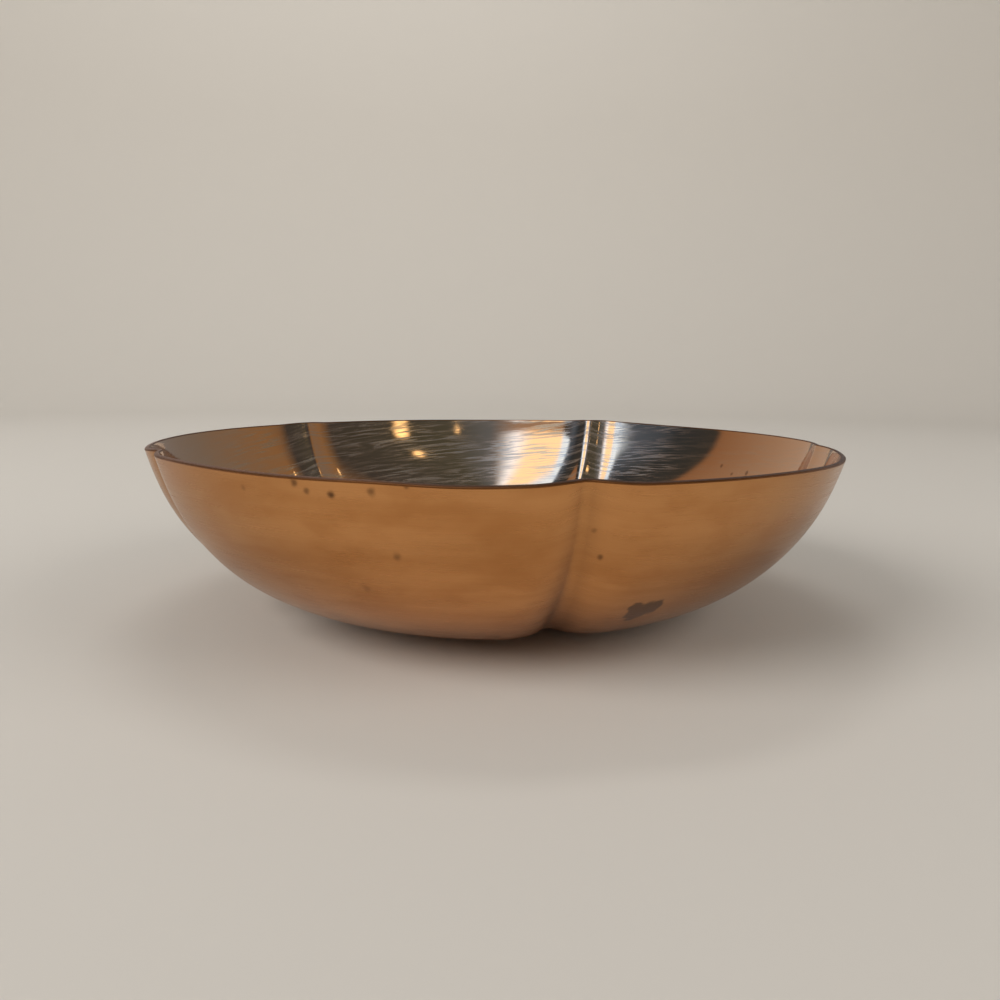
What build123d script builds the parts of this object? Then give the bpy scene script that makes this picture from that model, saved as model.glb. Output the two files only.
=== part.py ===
"""Offering bowl: five lobes raised from one copper sheet, on a low foot ring soldered underneath.

Millimetres, +Z up. The origin is on the bowl's axis, at the level where the foot ring stands, and
one of the creases between the lobes faces -Y.
"""

import os
from math import asin, cos, degrees, radians, sin

from build123d import *

os.makedirs("parts", exist_ok=True)

# Bowl, over the outside of the sheet: the wall leans out by wall_lean degrees and is straight at the rim
lobe_count = 5
rim_radius = 82.0
sheet = 1.0
wall_lean = 19.0
wall_length = 7.0
belly_radius = 46.0

# Creases between the lobes: how far in they are driven at the rim and where they run out at the base.
# crease_fade is the power with which the depth falls off above the base: 1 is even, more is sooner
crease_rim_depth = 2.9
crease_toe_depth = 7.0
crease_half_width = 10.5
crease_root_radius = 2.2
crease_fade = 3

# Foot ring, a strip on edge, and the solder in the corner outside it
foot_height = 2.0
foot_wall = 1.6
foot_chamfer = 0.5
foot_inset = 1.5
solder_leg = 0.8

# Sections that the loft has through the round of the belly
belly_levels = 6

# The belly turns from level, at the edge of the base, to the lean of the wall
lean = radians(wall_lean)
base_radius = rim_radius - wall_length * sin(lean) - belly_radius * cos(lean)
wall_height = belly_radius * (1 - sin(lean)) + wall_length * cos(lean)
foot_radius = base_radius - crease_toe_depth - foot_inset
lobe_angle = 360 / lobe_count


def polar(radius, angle):
    """Point at a radius from the bowl's axis, at an angle in degrees from +X."""
    return Vector(radius * cos(radians(angle)), radius * sin(radians(angle)))


def lobed_section(turn, reach, rise, depth_in_sheet=0.0):
    """Face across the bowl: crowns, shoulders and crease roots, as arcs that meet smoothly.

    turn is the lean of the wall there, in radians, reach the radius over the outside of the lobes and
    rise the height above the base. depth_in_sheet moves the section square to the wall, into the sheet.
    """
    depth = crease_rim_depth + (crease_toe_depth - crease_rim_depth) * (1 - rise / wall_height) ** crease_fade
    inset = depth_in_sheet * cos(turn)
    half_angle = degrees(asin(crease_half_width / reach))
    root = reach - depth + crease_root_radius
    near = root * cos(radians(half_angle))
    shoulder_radius = (reach**2 + root**2 - 2 * reach * near - crease_root_radius**2) / (
        2 * (reach + crease_root_radius - near)
    )
    with BuildSketch(Plane.XY.offset(foot_height + rise + depth_in_sheet * sin(turn))) as section:
        with BuildLine():
            for lobe in range(lobe_count):
                crease = lobe * lobe_angle - 90
                root_centre = polar(root, crease)
                root_ends = []
                for side in (-half_angle, half_angle):
                    towards_lobe = (polar(reach - shoulder_radius, crease + side) - root_centre).normalized()
                    root_ends.append(root_centre + towards_lobe * (crease_root_radius + inset))
                crown_end = polar(reach - inset, crease - half_angle)
                crown_start = polar(reach - inset, crease + half_angle)
                crown_middle = polar(reach - inset, crease + lobe_angle / 2)
                next_crown_end = polar(reach - inset, crease + lobe_angle - half_angle)
                RadiusArc(crown_end, root_ends[0], inset - shoulder_radius)
                ThreePointArc(root_ends[0], polar(reach - depth - inset, crease), root_ends[1])
                RadiusArc(root_ends[1], crown_start, inset - shoulder_radius)
                ThreePointArc(crown_start, crown_middle, next_crown_end)
        make_face()
    return section.sketch


# Levels from the edge of the base to the rim, as lean, reach and rise
levels = []
for step in range(belly_levels + 1):
    turn = radians(90 - (90 - wall_lean) * step / belly_levels)
    levels.append((turn, base_radius + belly_radius * cos(turn), belly_radius * (1 - sin(turn))))
levels.append((lean, rim_radius, wall_height))

outside = [lobed_section(*level) for level in levels]
inside = [lobed_section(*level, depth_in_sheet=sheet) for level in levels]

# Bowl shell: the outside, with the edge at the rim square to the sheet, less the inside
with BuildPart() as bowl_shell:
    loft(sections=outside)
    loft(sections=[outside[-1], inside[-1]], ruled=True)
    loft(sections=inside, mode=Mode.SUBTRACT)

# Foot ring: the edges that it stands on are filed off
with BuildPart() as foot_ring:
    with BuildSketch(Plane.XZ) as strip:
        with Locations((foot_radius - foot_wall / 2, foot_height / 2)):
            Rectangle(foot_wall, foot_height)
        chamfer(strip.vertices().group_by(Axis.Y)[0], foot_chamfer)
    revolve(axis=Axis.Z)

# Solder: a narrow slope from the base to the outside of the ring
with BuildPart() as foot_solder:
    with BuildSketch(Plane.XZ):
        with BuildLine():
            corner = (foot_radius, foot_height)
            toe = (foot_radius + solder_leg, foot_height)
            heel = (foot_radius, foot_height - solder_leg)
            Line(heel, corner)
            Line(corner, toe)
            Line(toe, heel)
        make_face()
    revolve(axis=Axis.Z)

bowl_shell.part.label = "bowl_shell"
foot_ring.part.label = "foot_ring"
foot_solder.part.label = "foot_solder"

export_step(bowl_shell.part, "parts/bowl_shell.step")
export_step(foot_ring.part, "parts/foot_ring.step")
export_step(foot_solder.part, "parts/foot_solder.step")
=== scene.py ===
"""Looks of the offering bowl: five lobes raised from one copper sheet, on a soldered foot ring.

Metres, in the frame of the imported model: +Z up, the origin on the bowl's axis at the level where the
foot ring stands, and a crease between two lobes towards -Y.
"""

from math import asin, atan2, cos, exp, pi, radians, remainder, sin

import bmesh
import bpy
from bpy.props import FloatProperty, FloatVectorProperty, IntProperty, PointerProperty
from mathutils import Matrix, Vector, noise


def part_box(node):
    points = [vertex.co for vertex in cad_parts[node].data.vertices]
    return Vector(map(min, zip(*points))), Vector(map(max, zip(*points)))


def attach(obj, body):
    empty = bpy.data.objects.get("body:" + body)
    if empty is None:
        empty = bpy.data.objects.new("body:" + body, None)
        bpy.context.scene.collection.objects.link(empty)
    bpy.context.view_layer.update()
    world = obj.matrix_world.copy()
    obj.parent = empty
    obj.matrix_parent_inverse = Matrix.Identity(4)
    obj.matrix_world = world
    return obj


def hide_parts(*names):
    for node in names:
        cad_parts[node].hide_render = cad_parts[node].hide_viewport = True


bl_info = {
    "name": "Offering bowl",
    "version": (1, 0, 0),
    "blender": (4, 5, 0),
    "location": "View3D > Sidebar > Offering bowl",
    "description": "Dresses the packed offering bowl: raised copper shell, soldered foot ring and studio",
    "category": "Object",
}

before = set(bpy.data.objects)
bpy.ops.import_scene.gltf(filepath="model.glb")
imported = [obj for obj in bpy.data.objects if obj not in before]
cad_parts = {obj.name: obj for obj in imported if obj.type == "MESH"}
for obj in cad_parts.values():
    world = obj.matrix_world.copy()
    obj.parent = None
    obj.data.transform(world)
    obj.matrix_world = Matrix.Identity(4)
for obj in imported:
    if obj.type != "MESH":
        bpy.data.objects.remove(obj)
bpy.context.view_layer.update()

MM = 0.001
BODY = "root"

SHELL_LOW, SHELL_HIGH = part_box("bowl_shell")
RING_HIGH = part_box("foot_ring")[1]
SOLDER_LOW, SOLDER_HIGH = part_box("foot_solder")

# Hand work on the creases, from the one at the front anticlockwise: drift in degrees close to the base
# and above that, share of the depth, and how far the sheet stands out beside it, in millimetres: out on
# the anticlockwise side, in on the other
CREASES = (
    (4.5, 0.4, 1.0, 0.0),
    (5.0, 5.0, 0.4, 0.0),
    (2.2, 2.2, 1.0, -0.5),
    (2.5, 2.5, 0.65, 0.0),
    (1.0, 1.0, 0.7, 0.0),
)

# Hand work on the rim: heading and half width in degrees, and how far it stands up, in millimetres
RIM_LIFTS = (
    (-89.6, 7, 0.4),
    (55.5, 7, 0.4),
    (128.5, 7, 0.4),
    (-161, 7, 0.3),
    (55, 28, 0.4),
    (-33, 30, -0.5),
    (-104, 12, -0.4),
    (-150, 28, 0.4),
)

# Where the rim flares a little instead of turning in: heading and half width in degrees, and how much of
# the turn is taken back
RIM_FLARE = (50, 12, 1.3)

# Where drops dried outside: heading in degrees, height and size in millimetres, and how dark it is
OUTSIDE_MARKS = (
    (-132.5, 37.0, 0.9, 0.3),
    (-124.3, 38.8, 1.1, 0.7),
    (-122.7, 37.5, 0.9, 0.6),
    (-119.5, 37.1, 1.1, 0.9),
    (-114.4, 38.0, 1.1, 0.6),
    (-110.2, 39.2, 0.8, 0.6),
    (-112.5, 26.6, 1.2, 0.5),
    (-118.3, 19.5, 1.3, 0.3),
    (-86.8, 26.4, 0.8, 0.7),
    (-88.2, 31.4, 0.7, 0.4),
)

# Dark stain low on the lobe to the right of the front crease, in the same terms
STAIN = (
    (-78.4, 15.0, 1.7, 0.85),
    (-77.6, 13.6, 2.5, 0.85),
    (-75.9, 13.6, 2.8, 0.85),
    (-74.4, 14.2, 2.3, 0.85),
    (-76.9, 12.4, 2.3, 0.85),
)

# Specks inside, under the rim
INSIDE_MARKS = (
    (10.0, 28.6, 0.9, 0.6),
    (14.5, 27.6, 0.7, 0.5),
    (18.5, 29.4, 0.8, 0.5),
)

# Walls of the room that the inside mirrors: heading from behind the camera towards +X, and colour
ROOM_WALLS = (
    (-165, "#C8C1BC"),
    (-118.5, "#A48A73"),
    (-116, "#464F57"),
    (-96, "#3C4D62"),
    (-82, "#5F7EA9"),
    (-62, "#5A5F66"),
    (-50, "#B8AEA8"),
    (-22, "#B8AEA8"),
    (-8, "#738CAA"),
    (12, "#59676B"),
    (72, "#4C545E"),
    (100, "#A18C70"),
    (140, "#8C9094"),
)

# Lamps in that room: heading, elevation and size, in degrees
ROOM_LAMPS = (
    (35, 30, 4.5),
    (32, 45, 4),
    (8, 31, 1.5),
    (95, 42, 3),
)


def linear(hex_colour):
    """Linear red, green, blue and alpha of an sRGB hex colour."""
    channels = [int(hex_colour[i : i + 2], 16) / 255 for i in (1, 3, 5)]
    return (*(c / 12.92 if c <= 0.04045 else ((c + 0.055) / 1.055) ** 2.4 for c in channels), 1.0)


def colour(label, description, hex_colour):
    """Property for a colour, with its default as sRGB hex."""
    return FloatVectorProperty(
        name=label, description=description, default=linear(hex_colour), subtype="COLOR", size=4,
        min=0, max=1,
    )


def length(label, description, default):
    """Property for a length in metres."""
    return FloatProperty(
        name=label, description=description, default=default, min=0, unit="LENGTH", precision=4
    )


class OFFERING_PG_sizes(bpy.types.PropertyGroup):
    """Sizes of the bowl that the meshes are made from."""

    lobes: IntProperty(name="Lobes", description="Lobes round the rim", default=5, min=3)
    rim_radius: length("Rim radius", "From the axis to the crown of a lobe", SHELL_HIGH.x)
    base_level: length("Base level", "Height of the underside of the base", SHELL_LOW.z)
    sheet: length("Sheet", "Thickness of the sheet", 1 * MM)
    wall_lean: FloatProperty(
        name="Wall lean", description="Lean of the wall at the rim", default=radians(19), unit="ROTATION"
    )
    wall_length: length("Straight wall", "Straight length under the rim", 7 * MM)
    belly_radius: length("Belly radius", "Round of the belly", 46 * MM)
    crease_rim_depth: length("Crease depth at the rim", "How far a crease is driven in there", 2.9 * MM)
    crease_toe_depth: length("Crease depth at the base", "How far it is in where it runs out", 7 * MM)
    crease_half_width: length("Crease half width", "From its root to the crown of a lobe", 10.5 * MM)
    crease_root_radius: length("Crease root radius", "Round of its root, outside", 2.2 * MM)
    crease_fade: FloatProperty(
        name="Crease fade", description="Power with which the depth falls off above the base",
        default=3, min=0,
    )
    rim_turn: length("Rim turn", "How far planishing turned the rim in from the straight wall", 0.25 * MM)
    edge_round: length("Edge round", "Rounding of the filed edge at the rim", 0.15 * MM)
    unevenness: length("Unevenness", "How far hand work leaves the sheet off its true form", 0.1 * MM)
    foot_wall: length("Foot wall", "Thickness of the strip of the foot ring", 1.6 * MM)
    foot_chamfer: length("Foot chamfer", "How far the edges that it stands on are filed off", 0.5 * MM)


class OFFERING_PG_finish(bpy.types.PropertyGroup):
    """Colours of the copper, the solder and the marks on them."""

    outside: colour("Outside", "Satin copper outside", "#D49860")
    outside_tarnish: colour("Outside tarnish", "Thin brown tarnish outside", "#B27540")
    # Painted shade: a duller copper laid on towards the sides as the camera sees them, and round the back
    outside_dull: colour("Outside dull", "Thicker tarnish at the sides and the back", "#A87E54")
    inside: colour("Inside", "Buffed copper inside", "#CBA07C")
    inside_film: colour("Inside film", "Dull film that wiping left inside", "#AE9A86")
    # This colour also paints shade into the creases outside
    mark: colour("Marks", "Dried drops, the stain near the base and specks", "#5E412D")
    edge: colour("Edge", "Filed edge at the rim", "#805230")
    ring: colour("Foot ring", "Copper strip of the foot", "#B98458")
    solder: colour("Solder", "Hard solder round the foot", "#A79C86")


class OFFERING_PG_stage(bpy.types.PropertyGroup):
    """Studio: sweep, light and camera."""

    paper: colour("Paper", "Seamless paper that the bowl stands on", "#CDC7BE")
    world: FloatProperty(name="World light", description="Even light from all round", default=0.25, min=0)
    key: FloatProperty(
        name="Key light", description="Power of the large soft light", default=10.6, unit="POWER"
    )
    fill: FloatProperty(
        name="Fill light", description="Power of the light from the right", default=4.4, unit="POWER"
    )
    backdrop: FloatProperty(
        name="Backdrop light", description="Power of the light on the far side of the sweep",
        default=5.5, unit="POWER",
    )
    camera_place: FloatVectorProperty(
        name="Camera", description="Where the camera stands", default=(-37.4 * MM, -204.8 * MM, 57.5 * MM),
        subtype="XYZ", unit="LENGTH",
    )
    camera_heading: FloatProperty(
        name="Heading", description="Turn of the view from +Y, anticlockwise", default=radians(-10.66),
        unit="ROTATION",
    )
    camera_pitch: FloatProperty(
        name="Pitch", description="Fall of the view under the horizon", default=radians(9.04),
        unit="ROTATION",
    )
    camera_roll: FloatProperty(
        name="Roll", description="Roll of the camera, anticlockwise", default=radians(0.6),
        unit="ROTATION",
    )
    lens: FloatProperty(
        name="Lens", description="Focal length on a 36 mm frame", default=29.72, unit="CAMERA"
    )


def node(tree, kind, inputs=None, **settings):
    """Adds a node. settings are its own options; inputs gives each socket a value or a node's output."""
    made = tree.nodes.new(kind)
    for name, value in settings.items():
        setattr(made, name, value)
    for socket, value in (inputs or {}).items():
        if isinstance(value, bpy.types.NodeSocket):
            tree.links.new(value, made.inputs[socket])
        else:
            made.inputs[socket].default_value = value
    return made


def new_material(name):
    """Empty node material, with its tree."""
    material = bpy.data.materials.new(name)
    material.use_nodes = True
    material.node_tree.nodes.clear()
    return material, material.node_tree


def sheet_place(tree, seam_heading):
    """Place on the sheet in metres: X round the bowl, clockwise, Y out and up along the wall, Z height.

    X jumps at seam_heading, which is in the root of a crease where it shows least.
    """
    place = node(tree, "ShaderNodeTexCoord").outputs["Object"]
    turned = node(
        tree, "ShaderNodeVectorRotate", {"Vector": place, "Angle": -pi / 2 - seam_heading},
        rotation_type="Z_AXIS",
    ).outputs[0]
    axes = node(tree, "ShaderNodeSeparateXYZ", {0: turned})
    heading = node(
        tree, "ShaderNodeMath", {0: axes.outputs["X"], 1: axes.outputs["Y"]}, operation="ARCTAN2"
    )
    around = node(tree, "ShaderNodeMath", {0: heading.outputs[0], 1: SHELL_HIGH.x}, operation="MULTIPLY")
    level = node(tree, "ShaderNodeVectorMath", {0: turned, 1: (1, 1, 0)}, operation="MULTIPLY")
    out = node(tree, "ShaderNodeVectorMath", {0: level.outputs[0]}, operation="LENGTH")
    along = node(tree, "ShaderNodeMath", {0: out.outputs["Value"], 1: axes.outputs["Z"]}, operation="ADD")
    return node(
        tree, "ShaderNodeCombineXYZ",
        {"X": around.outputs[0], "Y": along.outputs[0], "Z": axes.outputs["Z"]},
    ).outputs[0]


def round_from(tree, place, seam_heading, heading):
    """Distance round the bowl from a heading, either way, in metres at the rim."""
    start = remainder(pi + seam_heading - heading, 2 * pi) * SHELL_HIGH.x
    around = node(tree, "ShaderNodeSeparateXYZ", {0: place}).outputs["X"]
    off = node(tree, "ShaderNodeMath", {0: around, 1: start}, operation="SUBTRACT")
    return node(tree, "ShaderNodeMath", {0: off.outputs[0]}, operation="ABSOLUTE").outputs[0]


def streaks(tree, place, size, slant=0.0, detail=3.0, distortion=0.0):
    """Streaks or clouds on the sheet, of a length and a width in metres, rising clockwise by the slant."""
    laid = node(
        tree, "ShaderNodeMapping",
        {"Vector": place, "Rotation": (0, 0, slant), "Scale": (*size, 1)}, vector_type="TEXTURE",
    )
    return node(
        tree, "ShaderNodeTexNoise",
        {"Vector": laid.outputs[0], "Scale": 1.0, "Detail": detail, "Distortion": distortion},
        noise_dimensions="2D",
    ).outputs[0]


def marks(tree, place, seam_heading, spots, core, ragged):
    """How dark the sheet is marked, by spots that are full in the core's share of their size.

    Their edges are ragged by up to half the length given, in bites about 2 mm wide.
    """
    wobble = node(tree, "ShaderNodeTexNoise", {"Vector": place, "Scale": 1 / (2.2 * MM), "Detail": 3.0})
    shift = node(
        tree, "ShaderNodeVectorMath", {0: wobble.outputs["Color"], 1: (0.5, 0.5, 0.5)}, operation="SUBTRACT"
    )
    torn = node(
        tree, "ShaderNodeVectorMath",
        {0: shift.outputs[0], 1: (ragged, ragged, ragged), 2: place}, operation="MULTIPLY_ADD",
    )
    flat = node(
        tree, "ShaderNodeVectorMath", {0: torn.outputs[0], 1: (1, 0, 1)}, operation="MULTIPLY"
    ).outputs[0]
    darkness = 0.0
    for heading, height, size, strength in spots:
        around = remainder(pi + seam_heading - radians(heading), 2 * pi) * SHELL_HIGH.x
        gap = node(
            tree, "ShaderNodeVectorMath", {0: flat, 1: (around, 0, height * MM)}, operation="DISTANCE"
        ).outputs["Value"]
        spot = node(
            tree, "ShaderNodeMapRange",
            {"Value": gap, "From Min": size * MM, "From Max": core * size * MM, "To Max": strength},
            interpolation_type="SMOOTHSTEP",
        ).outputs[0]
        darkness = node(tree, "ShaderNodeMath", {0: darkness, 1: spot}, operation="MAXIMUM").outputs[0]
    return darkness


def copper_outside(finish):
    """Copper sheet, raised by hand and polished to a satin.

    To the eye: a soft blurred reflection, fine polishing lines round the bowl and thin brown tarnish, with
    painted shade towards the sides, at the back and in the creases.
    """
    material, tree = new_material("copper_raised_satin")
    # The seam is in the crease at the back right
    seam_heading = radians(55.5)
    place = sheet_place(tree, seam_heading)
    # Grit leaves lines about 0.1 mm apart; they are drawn 0.3 mm apart so that they show
    lines = streaks(tree, place, (18 * MM, 0.3 * MM))
    bands = streaks(tree, place, (60 * MM, 8 * MM), detail=2.0)
    clouds = streaks(tree, place, (15 * MM, 10 * MM), detail=5.0)
    # Painted shade: the copper turns duller away from the heading that faces the camera, most towards the
    # sides and at the back
    away = round_from(tree, place, seam_heading, radians(-100))
    dull = node(
        tree, "ShaderNodeMapRange",
        {"Value": away, "From Min": 15 * MM, "From Max": 85 * MM, "To Max": 0.7},
        interpolation_type="SMOOTHSTEP",
    )
    shade = node(
        tree, "ShaderNodeMix", {"Factor": dull.outputs[0], "A": finish.outside, "B": finish.outside_dull},
        data_type="RGBA",
    ).outputs["Result"]
    tarnish = ((clouds, 0.4, 0.75, 0.45), (bands, 0.4, 0.7, 0.3), (lines, 0.45, 0.8, 0.2))
    for film, least, most, share in tarnish:
        spread = node(
            tree, "ShaderNodeMapRange",
            {"Value": film, "From Min": least, "From Max": most, "To Max": share},
            interpolation_type="SMOOTHSTEP",
        )
        shade = node(
            tree, "ShaderNodeMix", {"Factor": spread.outputs[0], "A": shade, "B": finish.outside_tarnish},
            data_type="RGBA",
        ).outputs["Result"]
    # Painted shade: the creases are darkened towards the marks colour where ambient occlusion finds them
    # shut in
    open_share = node(
        tree, "ShaderNodeAmbientOcclusion", {"Distance": 6 * MM}, samples=8, only_local=True
    ).outputs["AO"]
    gathered = node(
        tree, "ShaderNodeMapRange",
        {"Value": open_share, "From Min": 0.97, "From Max": 0.7, "To Max": 0.75},
    )
    shade = node(
        tree, "ShaderNodeMix", {"Factor": gathered.outputs[0], "A": shade, "B": finish.mark},
        data_type="RGBA",
    ).outputs["Result"]
    for spots, core, ragged in ((OUTSIDE_MARKS, 0.1, 0.8 * MM), (STAIN, 0.6, 1.6 * MM)):
        dark = marks(tree, place, seam_heading, spots, core, ragged)
        shade = node(
            tree, "ShaderNodeMix", {"Factor": dark, "A": shade, "B": finish.mark}, data_type="RGBA"
        ).outputs["Result"]
    rough = node(
        tree, "ShaderNodeMapRange",
        {"Value": lines, "From Min": 0.3, "From Max": 0.7, "To Min": 0.19, "To Max": 0.28},
    )
    relief = node(tree, "ShaderNodeBump", {"Strength": 0.1, "Distance": 0.05 * MM, "Height": lines})
    shader = node(
        tree, "ShaderNodeBsdfPrincipled",
        {
            "Base Color": shade, "Metallic": 1.0, "Roughness": rough.outputs[0],
            "Normal": relief.outputs[0],
        },
    )
    node(tree, "ShaderNodeOutputMaterial", {"Surface": shader.outputs[0]})
    return material


def copper_inside(finish):
    """Copper sheet, buffed and wiped.

    To the eye: a mirror of the room, broken by curved wipe marks, with a few specks.
    """
    material, tree = new_material("copper_buffed_wiped")
    # The seam is in the crease at the front
    seam_heading = radians(-89.6)
    place = sheet_place(tree, seam_heading)
    wipes = streaks(tree, place, (16 * MM, 1.1 * MM), slant=radians(7), detail=3.0, distortion=1.2)
    patches = streaks(tree, place, (30 * MM, 9 * MM), slant=radians(7), detail=3.0)
    smear = node(
        tree, "ShaderNodeMapRange", {"Value": wipes, "From Min": 0.45, "From Max": 0.64},
        interpolation_type="SMOOTHSTEP",
    )
    patch = node(
        tree, "ShaderNodeMapRange", {"Value": patches, "From Min": 0.35, "From Max": 0.6, "To Min": 0.3},
        interpolation_type="SMOOTHSTEP",
    )
    # The cloth was pressed hardest at the back
    pressed = node(
        tree, "ShaderNodeMapRange",
        {
            "Value": round_from(tree, place, seam_heading, radians(90)),
            "From Min": 70 * MM, "From Max": 100 * MM, "To Min": 1.0, "To Max": 0.25,
        },
        interpolation_type="SMOOTHSTEP",
    )
    film = 1.0
    for share in (smear, patch, pressed):
        film = node(tree, "ShaderNodeMath", {0: film, 1: share.outputs[0]}, operation="MULTIPLY").outputs[0]
    copper = node(
        tree, "ShaderNodeMix", {"Factor": film, "A": finish.inside, "B": finish.inside_film},
        data_type="RGBA",
    )
    dark = marks(tree, place, seam_heading, INSIDE_MARKS, 0.3, 0.8 * MM)
    shade = node(
        tree, "ShaderNodeMix", {"Factor": dark, "A": copper.outputs["Result"], "B": finish.mark},
        data_type="RGBA",
    )
    rough = node(tree, "ShaderNodeMapRange", {"Value": film, "To Min": 0.06, "To Max": 0.25})
    metal = node(tree, "ShaderNodeMapRange", {"Value": film, "To Min": 1.0, "To Max": 0.74})
    relief = node(tree, "ShaderNodeBump", {"Strength": 0.08, "Distance": 0.05 * MM, "Height": wipes})
    shader = node(
        tree, "ShaderNodeBsdfPrincipled",
        {
            "Base Color": shade.outputs["Result"], "Metallic": metal.outputs[0],
            "Roughness": rough.outputs[0], "Normal": relief.outputs[0],
        },
    )
    node(tree, "ShaderNodeOutputMaterial", {"Surface": shader.outputs[0]})
    return material


def copper_filed(name, tint):
    """Copper that was filed and left, as on the cut edge at the rim and on the foot.

    To the eye: darker and duller than the sheet, with short file marks.
    """
    material, tree = new_material(name)
    place = node(tree, "ShaderNodeTexCoord").outputs["Object"]
    # A fine file leaves marks about 0.15 mm apart; they are drawn 0.4 mm apart so that they show
    strokes = node(
        tree, "ShaderNodeTexNoise", {"Vector": place, "Scale": 1 / (0.4 * MM), "Detail": 3.0}
    ).outputs[0]
    clouds = node(
        tree, "ShaderNodeTexNoise", {"Vector": place, "Scale": 1 / (7 * MM), "Detail": 4.0}
    ).outputs[0]
    bright = node(
        tree, "ShaderNodeMapRange",
        {"Value": clouds, "From Min": 0.3, "From Max": 0.7, "To Min": 0.82, "To Max": 1.08},
    )
    shade = node(tree, "ShaderNodeHueSaturation", {"Value": bright.outputs[0], "Color": tint})
    rough = node(
        tree, "ShaderNodeMapRange",
        {"Value": strokes, "From Min": 0.3, "From Max": 0.7, "To Min": 0.32, "To Max": 0.5},
    )
    relief = node(tree, "ShaderNodeBump", {"Strength": 0.25, "Distance": 0.04 * MM, "Height": strokes})
    shader = node(
        tree, "ShaderNodeBsdfPrincipled",
        {
            "Base Color": shade.outputs[0], "Metallic": 1.0, "Roughness": rough.outputs[0],
            "Normal": relief.outputs[0],
        },
    )
    node(tree, "ShaderNodeOutputMaterial", {"Surface": shader.outputs[0]})
    return material


def silver_solder(finish):
    """Hard silver solder, run round by the torch and pickled.

    To the eye: a dull pale metal, a little lumpy, browned by the flame in places.
    """
    material, tree = new_material("silver_solder_pickled")
    place = node(tree, "ShaderNodeTexCoord").outputs["Object"]
    lumps = node(
        tree, "ShaderNodeTexNoise", {"Vector": place, "Scale": 1 / (1.2 * MM), "Detail": 3.0}
    ).outputs[0]
    flame = node(
        tree, "ShaderNodeTexNoise", {"Vector": place, "Scale": 1 / (9 * MM), "Detail": 3.0}
    ).outputs[0]
    brown = node(
        tree, "ShaderNodeMapRange", {"Value": flame, "From Min": 0.45, "From Max": 0.75, "To Max": 0.6},
        interpolation_type="SMOOTHSTEP",
    )
    shade = node(
        tree, "ShaderNodeMix", {"Factor": brown.outputs[0], "A": finish.solder, "B": finish.ring},
        data_type="RGBA",
    )
    rough = node(
        tree, "ShaderNodeMapRange",
        {"Value": lumps, "From Min": 0.3, "From Max": 0.7, "To Min": 0.35, "To Max": 0.55},
    )
    relief = node(tree, "ShaderNodeBump", {"Strength": 0.4, "Distance": 0.1 * MM, "Height": lumps})
    shader = node(
        tree, "ShaderNodeBsdfPrincipled",
        {
            "Base Color": shade.outputs["Result"], "Metallic": 1.0, "Roughness": rough.outputs[0],
            "Normal": relief.outputs[0],
        },
    )
    node(tree, "ShaderNodeOutputMaterial", {"Surface": shader.outputs[0]})
    return material


def mirrored_room():
    """What the buffed copper mirrors behind the camera: a dim room with a tall window and lamps.

    The panel's UV map holds its heading from behind the camera and its elevation, both in degrees.
    """
    material, tree = new_material("mirrored_room")
    place = node(tree, "ShaderNodeTexCoord").outputs["UV"]
    turn = node(tree, "ShaderNodeSeparateXYZ", {0: place})
    heading, elevation = turn.outputs["X"], turn.outputs["Y"]
    share = node(tree, "ShaderNodeMapRange", {"Value": heading, "From Min": -180, "From Max": 180})
    walls = node(tree, "ShaderNodeValToRGB", {"Fac": share.outputs[0]})
    stops = walls.color_ramp.elements
    for wall_heading, hex_colour in ROOM_WALLS:
        stops.new((wall_heading + 180) / 360).color = linear(hex_colour)
    stops.remove(stops[0])
    stops.remove(stops[-1])

    # Soft edges of the window, whose sill slants, and of the warm part of what is seen through it: where
    # each begins and where it is full, in degrees
    sill_slope = 0.053
    sill = node(
        tree, "ShaderNodeMath", {0: heading, 1: -sill_slope, 2: elevation}, operation="MULTIPLY_ADD"
    ).outputs[0]
    edges = {
        "window": ((heading, -82, -72), (heading, -9, -24), (sill, 33, 34.2)),
        "warm": ((heading, -62, -50), (heading, -20, -34)),
    }
    shares = {}
    for part, sides in edges.items():
        within = 1.0
        for angle, outer, inner in sides:
            side = node(
                tree, "ShaderNodeMapRange", {"Value": angle, "From Min": outer, "From Max": inner},
                interpolation_type="SMOOTHSTEP",
            )
            within = node(
                tree, "ShaderNodeMath", {0: within, 1: side.outputs[0]}, operation="MULTIPLY"
            ).outputs[0]
        shares[part] = within
    cool, warm, lamplight = linear("#A0CBFF"), linear("#B4B4A6"), linear("#FFF0C0")
    glass = node(
        tree, "ShaderNodeMix", {"Factor": shares["warm"], "A": cool, "B": warm}, data_type="RGBA"
    ).outputs["Result"]
    glow = 0.0
    for lamp_heading, lamp_elevation, size in ROOM_LAMPS:
        gap = node(
            tree, "ShaderNodeVectorMath", {0: place, 1: (lamp_heading, lamp_elevation, 0)},
            operation="DISTANCE",
        )
        lamp = node(
            tree, "ShaderNodeMapRange",
            {"Value": gap.outputs["Value"], "From Min": size, "From Max": 0.3 * size},
            interpolation_type="SMOOTHSTEP",
        )
        glow = node(tree, "ShaderNodeMath", {0: glow, 1: lamp.outputs[0]}, operation="MAXIMUM").outputs[0]

    light = node(tree, "ShaderNodeEmission", {"Color": walls.outputs[0], "Strength": 1.0}).outputs[0]
    window_strength, lamp_strength = 3.6, 3.0
    sources = ((glass, shares["window"], window_strength), (lamplight, glow, lamp_strength))
    for tint, spread, strength in sources:
        power = node(tree, "ShaderNodeMath", {0: spread, 1: strength}, operation="MULTIPLY")
        shine = node(tree, "ShaderNodeEmission", {"Color": tint, "Strength": power.outputs[0]})
        light = node(tree, "ShaderNodeAddShader", {0: light, 1: shine.outputs[0]}).outputs[0]
    node(tree, "ShaderNodeOutputMaterial", {"Surface": light})
    return material


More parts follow.
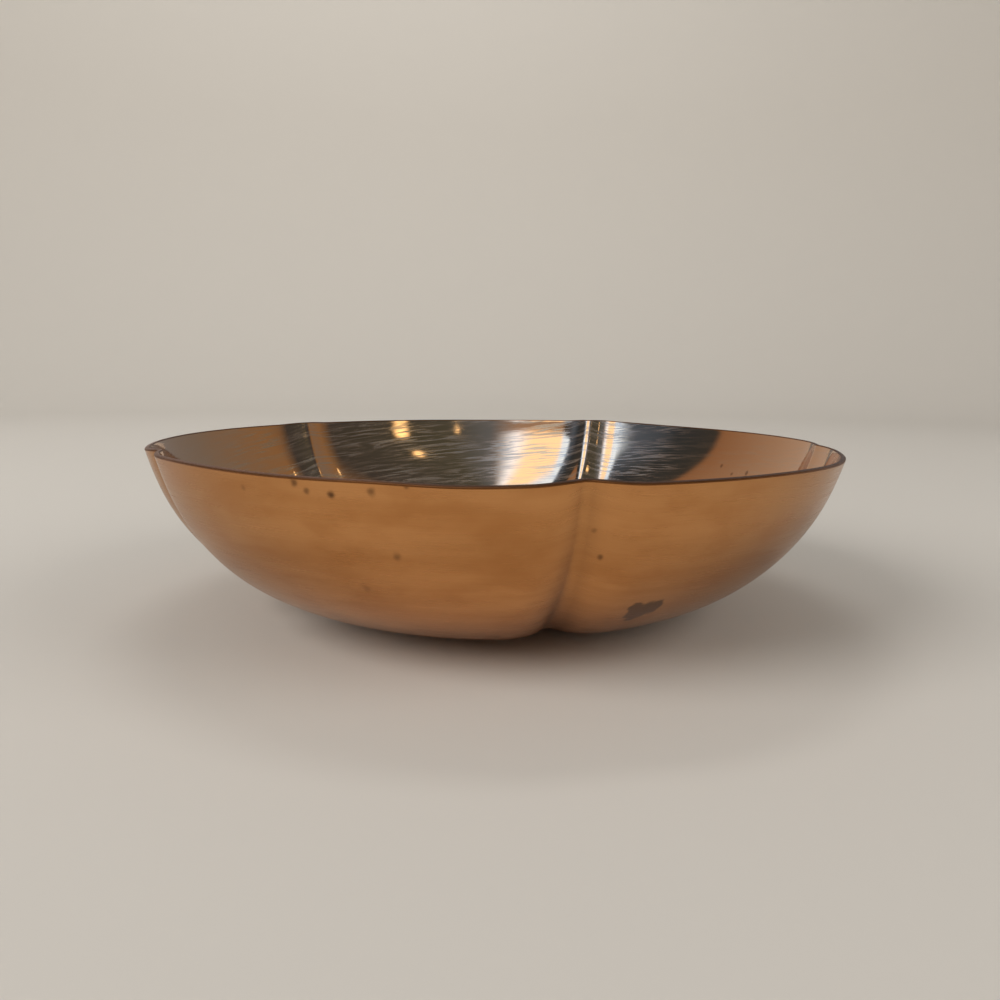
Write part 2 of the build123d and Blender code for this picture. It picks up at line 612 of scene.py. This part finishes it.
def seamless_paper(stage):
    """Matt paper: an even pale ground without a sheen."""
    material, tree = new_material("seamless_paper")
    shader = node(
        tree, "ShaderNodeBsdfPrincipled",
        {"Base Color": stage.paper, "Roughness": 0.9, "Specular IOR Level": 0.1},
    )
    node(tree, "ShaderNodeOutputMaterial", {"Surface": shader.outputs[0]})
    return material


def half_lobe(sizes, reach, depth):
    """Points from the root of a crease to the crown of the next lobe, with the crease towards +X.

    Three arcs that meet smoothly: the root of the crease, the shoulder and the crown.
    """
    half_angle = asin(sizes.crease_half_width / reach)
    root = reach - depth + sizes.crease_root_radius
    near = root * cos(half_angle)
    shoulder_radius = (reach**2 + root**2 - 2 * reach * near - sizes.crease_root_radius**2) / (
        2 * (reach + sizes.crease_root_radius - near)
    )
    shoulder = (reach - shoulder_radius) * Vector((cos(half_angle), sin(half_angle)))
    lean = atan2(shoulder.y, shoulder.x - root)
    root_steps, shoulder_steps, crown_steps = 5, 6, 9
    arcs = (
        (Vector((root, 0)), sizes.crease_root_radius, pi, lean, root_steps),
        (shoulder, shoulder_radius, lean - pi, half_angle, shoulder_steps),
        (Vector((0, 0)), reach, half_angle, pi / sizes.lobes, crown_steps),
    )
    points = []
    for centre, radius, start, end, steps in arcs:
        for step in range(steps):
            angle = start + (end - start) * step / steps
            points.append(centre + radius * Vector((cos(angle), sin(angle))))
    points.append(Vector((reach * cos(pi / sizes.lobes), reach * sin(pi / sizes.lobes))))
    return points


def beside(away):
    """Swell beside a crease, at a distance from it: 1 at its height, and -1 on the other side."""
    height_at = 8 * MM
    share = away / height_at
    return share * exp((1 - share**2) / 2)


def lobed_ring(sizes, reach, depth, level):
    """Points round the bowl at a level from 0 to 1, anticlockwise from the crease at the front."""
    lobe_angle = 2 * pi / sizes.lobes
    drift_fade = 6
    low_share = (1 - level) ** drift_fade
    ring = []
    for number in range(sizes.lobes):
        low_drift, high_drift, share, lean = CREASES[number % len(CREASES)]
        next_low_drift, next_high_drift, next_share, next_lean = CREASES[(number + 1) % len(CREASES)]
        drift = high_drift + (low_drift - high_drift) * low_share
        next_drift = next_high_drift + (next_low_drift - next_high_drift) * low_share
        first = half_lobe(sizes, reach, depth * share)
        second = half_lobe(sizes, reach, depth * next_share)
        mirrored = [Matrix.Rotation(lobe_angle, 2) @ Vector((p.x, -p.y)) for p in reversed(second[1:-1])]
        for point in first + mirrored:
            angle = atan2(point.y, point.x)
            out = lean * beside(angle * reach) + next_lean * beside((angle - lobe_angle) * reach)
            point += point.normalized() * out * MM
            turn = number * lobe_angle - pi / 2 + radians(drift + (next_drift - drift) * angle / lobe_angle)
            ring.append(Matrix.Rotation(turn, 2) @ point)
    return ring


def wall_rows(sizes):
    """Reach, crease depth, height, level from 0 to 1 and inward turn of each row, from base to rim."""
    lean, wall, belly = sizes.wall_lean, sizes.wall_length, sizes.belly_radius
    base_radius = sizes.rim_radius - wall * sin(lean) - belly * cos(lean)
    wall_height = belly * (1 - sin(lean)) + wall * cos(lean)
    belly_steps, wall_steps = 22, 5
    profile = []
    for step in range(belly_steps + 1):
        turn = pi / 2 - (pi / 2 - lean) * step / belly_steps
        profile.append((base_radius + belly * cos(turn), belly * (1 - sin(turn)), 0))
    for step in range(1, wall_steps + 1):
        down = wall * (1 - step / wall_steps)
        turned = sizes.rim_turn * (step / wall_steps) ** 2
        profile.append((sizes.rim_radius - down * sin(lean), wall_height - down * cos(lean), turned))
    rows = []
    for reach, rise, turned in profile:
        fade = (1 - rise / wall_height) ** sizes.crease_fade
        depth = sizes.crease_rim_depth + (sizes.crease_toe_depth - sizes.crease_rim_depth) * fade
        rows.append((reach, depth, sizes.base_level + rise, rise / wall_height, turned))
    return rows


def swell(heading, place, half_width):
    """Smooth swell from 0 to 1 and back round a place. The heading is in radians, the rest in degrees."""
    away = abs(remainder(heading - radians(place), 2 * pi)) / radians(half_width)
    return (1 + cos(pi * away)) / 2 if away < 1 else 0


def rim_lift(heading):
    """How far the hand left the rim standing up at a heading, which is in radians."""
    return sum(height * MM * swell(heading, place, half_width) for place, half_width, height in RIM_LIFTS)


def shell_mesh(sizes):
    """Outside of the sheet, from the middle of the base to the rim."""
    lift_fade = 3
    rows = wall_rows(sizes)
    base_reach, base_depth, base_height, _, _ = rows[0]
    base_ring = lobed_ring(sizes, base_reach, base_depth, 0)
    base_shares = (0.15, 0.4, 0.65, 0.85)
    rings = [[(*(point * share), base_height) for point in base_ring] for share in base_shares]
    *flare, flare_share = RIM_FLARE
    # The flare is full over the middle of its width
    fullness = 1.5
    for reach, depth, height, level, turned in rows:
        ring = []
        for point in lobed_ring(sizes, reach, depth, level):
            heading = atan2(point.y, point.x)
            back = flare_share * min(1, fullness * swell(heading, *flare))
            point -= point.normalized() * turned * (1 - back)
            ring.append((*point, height + rim_lift(heading) * level**lift_fade))
        rings.append(ring)

    mesh = bmesh.new()
    loops = [[mesh.verts.new(point) for point in ring] for ring in rings]
    middle = mesh.verts.new((0, 0, base_height))
    count = len(base_ring)
    for number in range(count):
        following = (number + 1) % count
        mesh.faces.new((middle, loops[0][following], loops[0][number]))
        for lower, upper in zip(loops, loops[1:]):
            mesh.faces.new((lower[number], lower[following], upper[following], upper[number]))
    mesh.normal_update()
    wave = 28 * MM
    for vert in mesh.verts:
        if vert.co.z > base_height + sizes.sheet:
            vert.co += vert.normal * sizes.unevenness * noise.noise(vert.co / wave)
    for face in mesh.faces:
        face.smooth = True
    return mesh


def ring_mesh(section_at):
    """Closed ring from its section, which section_at gives for each heading as radius and height."""
    steps = 144
    mesh = bmesh.new()
    loops = []
    for step in range(steps):
        heading = 2 * pi * step / steps
        section = section_at(heading)
        loops.append([mesh.verts.new((out * cos(heading), out * sin(heading), up)) for out, up in section])
    for number, loop in enumerate(loops):
        following = loops[(number + 1) % steps]
        for corner in range(len(loop)):
            after = (corner + 1) % len(loop)
            mesh.faces.new((loop[corner], following[corner], following[after], loop[after]))
    bmesh.ops.recalc_face_normals(mesh, faces=mesh.faces)
    for face in mesh.faces:
        face.smooth = True
    return mesh


def strip_section(sizes):
    """Section of the foot ring: a strip on edge, with the edges that it stands on filed off."""
    outer, top = RING_HIGH.x, RING_HIGH.z
    inner, filed = outer - sizes.foot_wall, sizes.foot_chamfer
    foot = [(inner, filed), (inner + filed, 0), (outer - filed, 0), (outer, filed)]
    return [(inner, top), *foot, (outer, top)]


def solder_section(heading):
    """Section of the solder: hollow between the base and the ring, and uneven as it ran."""
    ring, top = RING_HIGH.x, SOLDER_HIGH.z
    uneven, waves = 0.14, 5
    run = 1 + uneven * noise.noise((waves * cos(heading), waves * sin(heading), 0))
    leg = min(SOLDER_HIGH.x - ring, top - SOLDER_LOW.z) * run
    section = [(ring, top), (ring + leg, top)]
    steps = 5
    for step in range(1, steps):
        angle = pi / 2 * step / steps
        section.append((ring + leg * (1 - sin(angle)), top - leg * (1 - cos(angle))))
    section.append((ring, top - leg))
    return section


def new_object(name, mesh, materials):
    """Object from a bmesh, with its materials."""
    data = bpy.data.meshes.new(name)
    mesh.to_mesh(data)
    mesh.free()
    for material in materials:
        data.materials.append(material)
    made = bpy.data.objects.new(name, data)
    bpy.context.scene.collection.objects.link(made)
    return made


def new_piece(name, mesh, materials, node_name):
    """Piece from a bmesh, with its materials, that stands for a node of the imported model."""
    piece = new_object(name, mesh, materials)
    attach(piece, BODY)
    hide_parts(node_name)
    return piece


def round_edges(piece, width, least_angle, material=-1):
    """Rounds the sharp edges of a piece; -1 leaves the material as it is beside the edge."""
    edge = piece.modifiers.new("Filed edges", "BEVEL")
    edge.width = width
    edge.segments = 2
    edge.limit_method = "ANGLE"
    edge.angle_limit = least_angle
    edge.material = material


def new_stage_object(name, mesh, material):
    """Object of the studio, from a bmesh."""
    made = new_object(name, mesh, (material,))
    return made


def sweep_mesh():
    """Round floor that curves up into a wall all round, with no corner to see."""
    floor_radius, bend_radius, wall_height, bend_steps = 0.9, 0.5, 1.0, 12
    profile = [(0, 0), (floor_radius / 2, 0)]
    for step in range(bend_steps + 1):
        angle = pi / 2 * step / bend_steps
        profile.append((floor_radius + bend_radius * sin(angle), bend_radius * (1 - cos(angle))))
    profile.append((floor_radius + bend_radius, wall_height))
    mesh = bmesh.new()
    points = [mesh.verts.new((out, 0, up)) for out, up in profile]
    edges = [mesh.edges.new(pair) for pair in zip(points, points[1:])]
    bmesh.ops.spin(mesh, geom=points + edges, cent=(0, 0, 0), axis=(0, 0, 1), angle=2 * pi, steps=72)
    bmesh.ops.remove_doubles(mesh, verts=mesh.verts, dist=1e-5)
    for face in mesh.faces:
        face.smooth = True
    return mesh


def room_mesh():
    """Curved panel round the back of the camera, whose UV map holds heading and elevation in degrees."""
    radius, across, upright = 1.15, 60, 16
    headings = (-178, 178)
    elevations = (3, 84)
    mesh = bmesh.new()
    uv = mesh.loops.layers.uv.new("turn")
    grid = []
    for column in range(across + 1):
        heading = headings[0] + (headings[1] - headings[0]) * column / across
        line = []
        for row in range(upright + 1):
            elevation = elevations[0] + (elevations[1] - elevations[0]) * row / upright
            level = radius * cos(radians(elevation))
            up = radius * sin(radians(elevation)) + SHELL_HIGH.z
            vert = mesh.verts.new((level * sin(radians(heading)), -level * cos(radians(heading)), up))
            line.append((vert, (heading, elevation)))
        grid.append(line)
    for left, right in zip(grid, grid[1:]):
        for row in range(upright):
            corners = (left[row], right[row], right[row + 1], left[row + 1])
            face = mesh.faces.new([vert for vert, _ in corners])
            for loop, (_, turn) in zip(face.loops, corners):
                loop[uv].uv = turn
    return mesh


def soft_light(name, place, target, size, power):
    """Round soft light that shines at a target, and that polished metal doesn't mirror."""
    data = bpy.data.lights.new(name, "AREA")
    data.shape = "DISK"
    data.size = size
    data.energy = power
    light = bpy.data.objects.new(name, data)
    bpy.context.scene.collection.objects.link(light)
    aim = (Vector(target) - Vector(place)).to_track_quat("-Z", "Y").to_matrix().to_4x4()
    light.matrix_world = Matrix.Translation(place) @ aim
    light.visible_glossy = False


class OFFERING_OT_shell(bpy.types.Operator):
    """Raise the bowl from one copper sheet."""

    bl_idname = "offering.shell"
    bl_label = "Bowl shell"

    def execute(self, context):
        sizes, finish = context.scene.offering_sizes, context.scene.offering_finish
        edge = copper_filed("copper_edge_filed", finish.edge)
        materials = (copper_outside(finish), copper_inside(finish), edge)
        inside_slot, edge_slot = 1, 2
        piece = new_piece("raised_bowl", shell_mesh(sizes), materials, "bowl_shell")
        sheet = piece.modifiers.new("Sheet", "SOLIDIFY")
        sheet.thickness = sizes.sheet
        sheet.offset = -1
        sheet.use_even_offset = True
        sheet.material_offset = inside_slot
        sheet.material_offset_rim = edge_slot
        round_edges(piece, sizes.edge_round, radians(60), edge_slot)
        smooth = piece.modifiers.new("Smooth", "SUBSURF")
        smooth.levels = smooth.render_levels = 1
        return {"FINISHED"}


class OFFERING_OT_foot(bpy.types.Operator):
    """Bend the foot ring from copper strip and solder it under the base."""

    bl_idname = "offering.foot"
    bl_label = "Foot ring and solder"

    def execute(self, context):
        sizes, finish = context.scene.offering_sizes, context.scene.offering_finish
        section = strip_section(sizes)
        filed_round = 0.12 * MM
        mesh = ring_mesh(lambda heading: section)
        strip = copper_filed("copper_strip_filed", finish.ring)
        ring = new_piece("foot_strip", mesh, (strip,), "foot_ring")
        round_edges(ring, filed_round, radians(30))
        solder = silver_solder(finish)
        new_piece("solder_run", ring_mesh(solder_section), (solder,), "foot_solder")
        return {"FINISHED"}


class OFFERING_OT_stage(bpy.types.Operator):
    """Set the sweep, the light and the camera."""

    bl_idname = "offering.stage"
    bl_label = "Studio"

    def execute(self, context):
        scene = context.scene
        stage = scene.offering_stage
        scene.view_settings.view_transform = "Standard"
        world = bpy.data.worlds.new("Studio")
        scene.world = world
        world.use_nodes = True
        world.node_tree.nodes.clear()
        light = node(
            world.node_tree, "ShaderNodeBackground", {"Color": (1, 1, 1, 1), "Strength": stage.world}
        )
        node(world.node_tree, "ShaderNodeOutputWorld", {"Surface": light.outputs[0]})

        new_stage_object("sweep", sweep_mesh(), seamless_paper(stage))
        room = new_stage_object("mirrored_room", room_mesh(), mirrored_room())
        for ray in ("camera", "diffuse", "shadow", "transmission", "volume_scatter"):
            setattr(room, f"visible_{ray}", False)
        bowl, sweep_back = (0, 0, SHELL_HIGH.z), (0, 1.4, 0.3)
        soft_light("Key", place=(-0.95, -0.4, 0.68), target=bowl, size=0.8, power=stage.key)
        soft_light("Fill", place=(0.85, -0.55, 0.6), target=bowl, size=0.8, power=stage.fill)
        soft_light("Backdrop", place=(0, 0.5, 1.2), target=sweep_back, size=0.6, power=stage.backdrop)

        camera_data = bpy.data.cameras.new("Camera")
        camera_data.lens = stage.lens
        camera_data.sensor_width = 36
        camera_data.clip_start = 0.01
        camera = bpy.data.objects.new("Camera", camera_data)
        scene.collection.objects.link(camera)
        turn = Matrix.Rotation(stage.camera_heading, 4, "Z")
        turn @= Matrix.Rotation(pi / 2 - stage.camera_pitch, 4, "X")
        turn @= Matrix.Rotation(stage.camera_roll, 4, "Z")
        camera.matrix_world = Matrix.Translation(stage.camera_place) @ turn
        scene.camera = camera
        return {"FINISHED"}


class OFFERING_PT_bowl(bpy.types.Panel):
    """Pieces of the bowl, in the order in which they are made."""

    bl_label = "Offering bowl"
    bl_idname = "OFFERING_PT_bowl"
    bl_space_type = "VIEW_3D"
    bl_region_type = "UI"
    bl_category = "Offering bowl"

    def draw(self, context):
        for operator in OPERATORS:
            self.layout.operator(operator.bl_idname)
        for group in GROUPS:
            settings = getattr(context.scene, group)
            box = self.layout.box()
            for name in settings.__annotations__:
                box.prop(settings, name)


GROUPS = {
    "offering_sizes": OFFERING_PG_sizes,
    "offering_finish": OFFERING_PG_finish,
    "offering_stage": OFFERING_PG_stage,
}
OPERATORS = (OFFERING_OT_shell, OFFERING_OT_foot, OFFERING_OT_stage)


def register():
    for made in (*GROUPS.values(), *OPERATORS, OFFERING_PT_bowl):
        bpy.utils.register_class(made)
    for name, group in GROUPS.items():
        setattr(bpy.types.Scene, name, PointerProperty(type=group))


def unregister():
    for name in GROUPS:
        delattr(bpy.types.Scene, name)
    for made in reversed((*GROUPS.values(), *OPERATORS, OFFERING_PT_bowl)):
        bpy.utils.unregister_class(made)


def main():
    register()
    bpy.ops.offering.shell()
    bpy.ops.offering.foot()
    bpy.ops.offering.stage()


if __name__ == "__main__":
    main()
